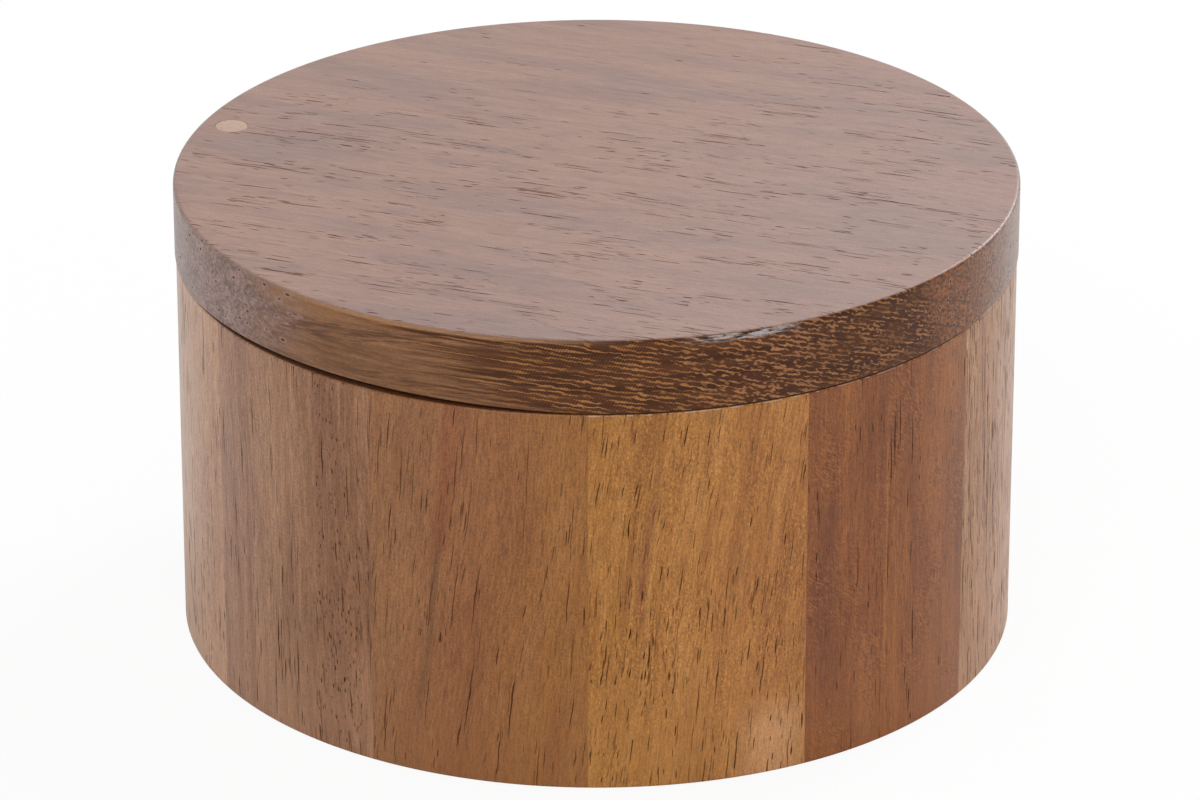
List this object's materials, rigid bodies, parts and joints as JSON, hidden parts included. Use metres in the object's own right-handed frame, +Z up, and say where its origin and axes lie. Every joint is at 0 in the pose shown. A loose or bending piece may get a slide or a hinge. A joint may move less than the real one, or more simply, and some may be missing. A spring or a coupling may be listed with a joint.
{
  "type": "round salt box with swivel lid",
  "caption": "Round wooden salt box of upright glued staves, with a flat lid that swivels sideways on a dowel near the rim and is held shut by a pair of small magnets.",
  "frame": {"origin": "centre of the underside, on the surface that the box stands on", "axes": "+Z up along the box's axis; +X to the right and -Y towards the viewer, with the pivot at 162 degrees from +X"},
  "size_m": [0.127, 0.127, 0.0714],
  "materials": {
    "tan_stave": "oiled, satin",
    "grey_brown_stave": "oiled, satin",
    "brown_stave": "oiled, satin",
    "golden_stave": "oiled, satin",
    "red_brown_stave": "oiled, satin",
    "pinkish_stave": "oiled, satin",
    "base_wood": "oiled, satin",
    "lid_wood": "oiled, satin",
    "dowel_wood": "bare, satin",
    "magnet_plating": "bright nickel plate"
  },
  "bodies": {
    "box": {"stave_01": "tan_stave", "stave_02": "red_brown_stave", "stave_03": "grey_brown_stave", "stave_04": "golden_stave", "stave_05": "tan_stave", "stave_06": "red_brown_stave", "stave_07": "tan_stave", "stave_08": "grey_brown_stave", "stave_09": "brown_stave", "stave_10": "golden_stave", "stave_11": "red_brown_stave", "stave_12": "pinkish_stave", "base_disc": "base_wood", "rim_magnet": "magnet_plating"},
    "lid": {"lid": "lid_wood", "pivot_dowel": "dowel_wood", "lid_magnet": "magnet_plating"}
  },
  "joints": [
    {"name": "lid_swivel", "type": "hinge", "parent": "box", "child": "lid", "pos_m": [-0.05568, 0.01809, 0.0602], "axis": [0, 0, 1], "continuous": true}
  ]
}
